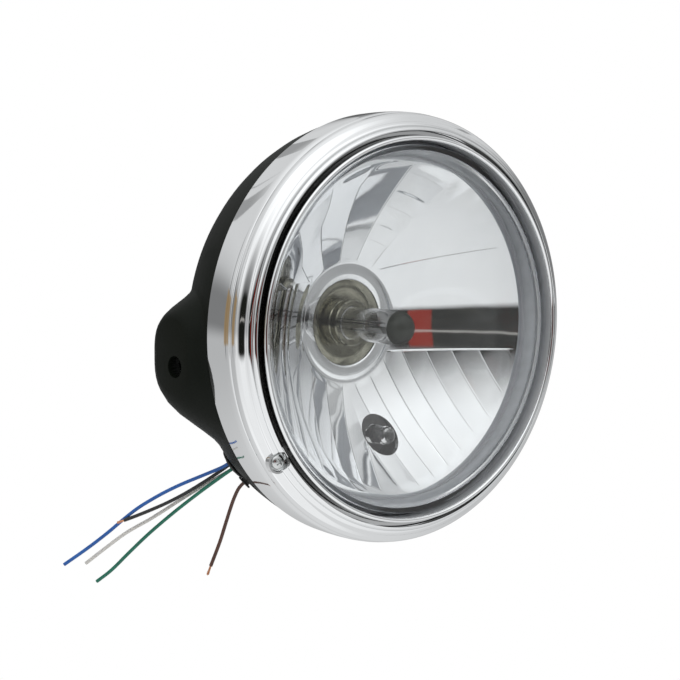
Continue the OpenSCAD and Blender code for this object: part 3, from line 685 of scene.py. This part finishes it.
def face_spot(t, proud=0.0):
    """A place on the slanting face, from the bead (0) to the lip (1), in radius and depth."""
    spot = Vector((BEAD_R, 0.5)) + t * FACE_RUN * SLANT + proud * Vector((0.594, -0.805))
    return tuple(spot)


def crowned(start, stop, height=0.42, count=9):
    """A band of the face that swells a little between two grooves."""
    return [face_spot(start + (stop - start) * i / count, height * (1 - (2 * i / count - 1) ** 2))
            for i in range(count + 1)]


rim_outside = ([(101.5, BAND_DEPTH), (101.75, 21.5), (102.0, 18.5), (102.2, 15), (102.3, 11),
                (102.18, 8.4)]
               + bend(SHOULDER, 5.0, 14, -52, 16)
               + [(98.7, 1.35), face_spot(0.01, -0.15)]
               + crowned(0.03, 0.31) + [face_spot(0.325, -0.3)]
               + crowned(0.34, 0.55, 0.35)
               + [(93.45, -2.6), (93.35, -0.2), (93.0, 0.2), (91.7, 0.2), (91.3, -0.2), (91.2, -4.3)]
               + bend((90.15, -4.4), 1.05, 0, -180, 18)
               + [(89.1, -0.45), (89.5, -0.2), (89.1, 0.05)])
rim_inside = ([(LIP_EDGE_R, 5.0), (LIP_EDGE_R + RIM_WALL, 5.0), (LIP_EDGE_R + RIM_WALL, 1.1),
               (96.2, 1.5)]
              + bend(SHOULDER, 4.1, -58, 8, 10) + [(101.4, 10.9), (100.6, BAND_DEPTH)])
rim = turned("rim", rim_outside + rim_inside, steps=288, angle=32)
ADJUSTER_SEAT = LAMP @ Matrix.Translation(Vector((-79.5, 55.5, 0)) / 1000)
cut(rim, turned("cup", [(0, 2.7), (5.6, 2.7), (5.6, 0.2), (4.0, 0.2), (4.0, 1.0), (0, 1.0)],
                ADJUSTER_SEAT, 48, closed=False), "UNION", 32)
cut(rim, turned("hollow", [(0, 1.8), (4.2, 1.8), (4.7, 1.3), (4.7, -5), (0, -5)],
                ADJUSTER_SEAT, 48, closed=False), "DIFFERENCE", 32)
fit(rim, "housing", RIM_CHROME, "rim_chrome", "chrome_rim")
print("rim faces", len(rim.data.polygons))

# %% [markdown]
# ## The lens
# A plain domed glass with a straight wall behind it and a foot that the seal and the
# clips hold. Spinning it from one outline gives both faces, so it bends light as a
# real sheet does, most of all in its thick rounded edge.

# %% Lens
DOME_R, DOME_TOP = 389.5, -13.6
lens = turned("lens_dome",
              bend((0, DOME_TOP + DOME_R), DOME_R, -90, -77.32, 28)
              + bend((85.5, -2.6), 1.5, -60, 0, 8)
              + [(87.0, 8.9), (89.0, 8.9), (89.0, 11.2), (84.0, 11.2), (84.0, 0.5)]
              + bend((0, DOME_TOP + DOME_R), DOME_R - 3, -78.2, -90, 28),
              closed=False, angle=40)
fit(lens, "beam_unit", LENS_GLASS, "lens_glass", "lens")
print("lens faces", len(lens.data.polygons))

# %% [markdown]
# ## The reflector
# A deep dish that closes on a collar round the bulb. Its depth falls with the square
# of the radius, which is what makes a parallel beam. The skin is spun smooth and fine,
# because any flat spot would show in a mirror, and the parking lamp's hole is cut
# through it last.

# %% Reflector
def dish_back(r):
    """Depth of the dish behind the bead at a radius."""
    return 46.3 - (r * r - 28.5 ** 2) / 165.67


dish_front = [(28.5 + (81 - 28.5) * i / 40, dish_back(28.5 + (81 - 28.5) * i / 40)) for i in range(41)]
dish_rear = [(r, d + 2) for r, d in reversed(dish_front[1:-1])]
reflector = turned("reflector_dish",
                   [(20.8, 48.8), (20.8, 46.9), (21.2, 46.4), (21.8, 46.2), (24, 46.0), (27.3, 46.0)]
                   + dish_front
                   + [(90.4, 11.6), (90.4, 13.4), (81.6, 13.4)] + dish_rear
                   + [(28.5, 48.3), (26, 48.3), (26, 54.3), (24, 54.3), (24, 49.3), (20.8, 49.3)],
                   angle=40)
PARKING_SEAT = LAMP @ Matrix.Translation(Vector((9, 54, 0)) / 1000)
cut(reflector, rod("parking_bore", 9.5, 10, 60, PARKING_SEAT), "DIFFERENCE", 40)
fit(reflector, "beam_unit", REFLECTOR_METAL, "reflector_metal", "reflector")
print("reflector faces", len(reflector.data.polygons))

# %% [markdown]
# ## The bucket
# The bowl and its two flared bosses are one moulding with no corner lines. The solid's
# own mesh has the right shape, so a copy of it is merged and shaded smooth.

# %% Bucket
bucket = cast_from("bucket", "bucket_shell", 38)
fit(bucket, "housing", BUCKET_PLASTIC, "bucket_black", "bucket")
print("bucket faces", len(bucket.data.polygons))

# %% [markdown]
# ## Screws
# A pan head is a shallow turned dome with a crossed recess. A real recess tapers,
# which is why a driver centres itself; here the cutters are two small straight blades.

# %% Adjusting screw
def pan_head(name, seat, radius, shank, low, top, tail):
    """Screw along the seat's Z: head from low to top (outwards is -Z), shank to tail."""
    rim_height = low - 1.0
    dome = [(radius * math.sin(math.radians(a)), rim_height - (rim_height - top) * math.cos(math.radians(a)))
            for a in (15, 30, 45, 60, 75, 88)]
    under = [(radius, low - 0.25), (radius - 0.25, low), (shank, low), (shank, tail - 0.5),
             (shank - 0.5, tail), (0, tail)]
    screw = turned(name, [(0, top)] + dome + under, seat, 64, closed=False)
    for turn in (45, 135):
        spun = seat @ Matrix.Rotation(math.radians(turn), 4, "Z")
        cut(screw, bar("blade", (-radius * 0.55, -0.42, top - 0.5), (radius * 0.55, 0.42, top + 1.5),
                       spun))
    return screw


adjuster = pan_head("adjuster_screw", ADJUSTER_SEAT, 3.6, 2.0, 1.75, -0.8, 17.8)
fit(adjuster, "adjuster", ZINC, "zinc_plate", "adjusting_screw")

# %% [markdown]
# ## The bulb
# A two-filament bulb: a glass tube with a round end, a dark plated cap behind it and a
# wide locating flange that sits in the reflector's neck.

# %% Bulb
def tube_end(radius, tip, count=14):
    return [(radius * math.sin(math.radians(90 * i / count)),
             tip + radius * (1 - math.cos(math.radians(90 * i / count)))) for i in range(count + 1)]


GLASS_R, GLASS_WALL, GLASS_TIP, GLASS_FOOT = 8.3, 0.9, 1.8, 41.8
envelope = turned("bulb_envelope", tube_end(GLASS_R, GLASS_TIP)
                  + [(GLASS_R, GLASS_FOOT), (GLASS_R - GLASS_WALL, GLASS_FOOT)]
                  + [(r, d + GLASS_WALL) for r, d in reversed(tube_end(GLASS_R - GLASS_WALL, GLASS_TIP))],
                  steps=72, closed=False)
fit(envelope, "beam_unit", BULB_GLASS, "bulb_glass", "bulb_glass")
cap = turned("bulb_collar", [(0, 41.7), (7.3, 41.7), (7.3, 42.2), (8.4, 42.2), (8.6, 41.9), (10.6, 41.9),
                             (11.2, 42.5), (11.2, 46.2), (10.7, 46.7), (11.2, 47.2), (11.2, 49.3),
                             (15, 49.25), (16.5, 48.9), (18.2, 48.9), (19.0, 49.3), (21.5, 49.3),
                             (21.5, 50.5), (11.2, 50.5), (11.2, 61.5), (0, 61.5)], steps=96, closed=False)
fit(cap, "beam_unit", BULB_CAP, "bulb_cap", "bulb_base")

# %% [markdown]
# ## Grommets
# Black rubber rings line the holes where the wires leave the bucket. Soft rubber has
# no sharp edges, so their outlines are rounded.

# %% Grommets
grommet = turned("grommet", [(0, -5.9), (6.6, -5.9), (7.0, -5.4), (6.9, -4.8), (6.0, -4.4), (5.95, 0.9),
                             (7.4, 1.0), (8.0, 1.5), (7.8, 2.1), (7.0, 2.4), (4.9, 2.4), (4.4, 2.8),
                             (4.3, 3.3), (3.9, 3.4), (0, 3.4)],
                 GROMMET, 64, closed=False)
fit(grommet, "housing", GROMMET_RUBBER, "grommet_rubber", "wire_grommet")
bush = turned("bush", [(0, -4.9), (3.2, -4.8), (3.4, -4.2), (2.4, -3.7), (2.3, 0.8), (3.3, 0.85),
                       (3.6, 1.3), (3.3, 1.7), (1.4, 1.8), (0, 1.8)], BUSH, 48, closed=False)
fit(bush, "housing", GROMMET_RUBBER, "grommet_rubber", "brown_wire_bush")

# %% [markdown]
# ## Pieces that keep their solid shape
# The hidden parts already have the shape that the lamp needs. They keep their meshes
# and only get the finish of their own stuff.

# %% Dress the remaining solids
KEPT = {"side_nut_left": ZINC, "side_nut_right": ZINC, "rim_screw": ZINC, "rim_nut": ZINC,
        "adjusting_nut": NYLON, "adjusting_spring": SPRING_STEEL, "pivot_stud_top": ZINC,
        "pivot_stud_bottom": ZINC, "mounting_ring": RING_STEEL, "lens_clip_top_left": SPRING_STEEL,
        "lens_clip_top_right": SPRING_STEEL, "lens_clip_bottom": SPRING_STEEL, "lens_seal": SEAL,
        "bulb_shield": RING_STEEL, "main_filament": TUNGSTEN, "dip_filament": TUNGSTEN,
        "bulb_terminals": BULB_CAP, "bulb_clip": SPRING_STEEL, "dust_boot": BOOT, "bulb_plug": PLUG,
        "parking_bulb": BULB_GLASS, "parking_holder": HOLDER, "inner_wires": SHEATHS["black"]}
for node_name, finish in KEPT.items():
    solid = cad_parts[node_name]
    solid.data.materials.clear()
    solid.data.materials.append(finish)
print("kept solids:", len(KEPT))

# %% [markdown]
# ## The studio
# Chrome shows what stands round it, so the room matters more than the lamps. This one
# is a white table under a bright ceiling. Along the horizon in front of the lamp runs
# the dark open side of the room, with something red in it, and the walls behind are
# panels of two greys, one of them wood. What lies behind the lamp is white, to the eye
# and through the glass. Mirrors look through the floor at the room's own table.

# %% Studio
def studio_room():
    world = bpy.data.worlds.new("studio_room")
    bpy.context.scene.world = world
    world.use_nodes = True
    world.node_tree.nodes.clear()
    room = Network(world.node_tree, "Generated")
    height = room.node("ShaderNodeMath", {"operation": "ARCSINE"}, in0=room.z) * (180 / math.pi)
    turn = room.x.around(0 - room.y) * (180 / math.pi)
    front = turn.band(-75, -45, 30, 75)
    # Brightness by height: table, wall and ceiling, in front and elsewhere
    table = height.ease(-13, -9, 1.0, 0.0)
    ahead = table * 0.93 + height.ease(8, 44) * 1.05 + height.ease(6, 14) * 0.14
    ahead = ahead + (1 - table) * turn.ease(0, 10) * height.ease(12, 36, 0.36, 0.0)
    rear = height.ease(-60, -8, 0.74, 0.5) + height.ease(10, 26) * 0.2 + height.ease(40, 75) * 0.25
    rear = rear - height.band(-6, 0, 8, 18) * 0.28
    around = rear + turn.band(-112, -92, -62, -48) * 0.3
    tone = around + front * (ahead - around)
    # Hard-edged panels on the walls, one of them of wood
    panels = room.node("ShaderNodeTexNoise", {"noise_dimensions": "1D"}, W=turn * 0.09, Scale=1.0,
                       Detail=1.0)
    walls = (1 - front) * height.band(-14, -9, 30, 44)
    tone = tone * (1 - walls * panels.ease(0.4, 0.43, 0.5, 0.0))
    pale = room.node("ShaderNodeCombineColor", {}, in0=tone * 0.99, in1=tone, in2=tone * 1.01)
    wood = turn.band(-140, -138, -104, -102) * height.band(-8, -6, 12, 14) * 0.8
    pale = room.blend(wood, pale, colour(0.33, 0.22, 0.1))
    # The dark strip in front, with a thin bright line and something red
    strip = height.band(-10.5, -9.5, 9, 12) * turn.band(-50, -44, 2, 8)
    red = turn.band(-17, -16, -6, -5)
    line = height.band(1.2, 1.7, 2.3, 2.8) * 0.6
    dark = room.blend(red, colour(0.012, 0.013, 0.011), colour(0.26, 0.018, 0.008))
    dark = room.blend(line, dark, colour(0.6, 0.58, 0.55))
    seen = room.blend(strip, pale, dark)
    shown = room.picked(room.plain_sight(), room.node("ShaderNodeBackground", {}, in0=seen, in1=1.0),
                        room.node("ShaderNodeBackground", {}, in0=colour(1, 1, 1), in1=1.0))
    out = world.node_tree.nodes.new("ShaderNodeOutputWorld")
    room.feed(out.inputs[0], shown)


def floor_finish():
    f = Finish("studio_floor", Roughness=0.8)
    white = f.node("ShaderNodeEmission", {})
    gone = f.node("ShaderNodeBsdfTransparent", {})
    shown = f.picked(f.plain_sight(), f.shader.outputs[0], white)
    f.feed(f.out.inputs[0], f.picked(f.ray("Glossy Depth") > 0.5, shown, gone))
    return f.wear(Base_Color=f.blend(f.noise(1.5, 2), colour(0.86, 0.86, 0.86), colour(0.9, 0.9, 0.9)))


def lamp_panel(name, place, aim_at, size, power):
    light = bpy.data.lights.new(name, "AREA")
    light.shape = "RECTANGLE"
    light.size, light.size_y = size
    light.energy = power
    panel = bpy.data.objects.new(name, light)
    bpy.context.scene.collection.objects.link(panel)
    panel.location = place
    panel.rotation_euler = (Vector(aim_at) - Vector(place)).to_track_quat("-Z", "Y").to_euler()
    panel.visible_glossy = False
    return panel


studio_room()
start_clean()
bpy.ops.mesh.primitive_plane_add(size=12, location=(0, 0, -0.4))
floor = bpy.context.object
floor.name = "studio_floor"
floor.data.materials.append(floor_finish())
floor.visible_glossy = False
lamp_panel("window_left", (-1.6, -0.5, 1.3), (0, 0, 0), (1.4, 1.0), 7)
lamp_panel("window_top", (0.3, 0.1, 1.8), (0, 0, 0), (1.6, 1.2), 6)
bpy.context.scene.view_settings.view_transform = "Standard"
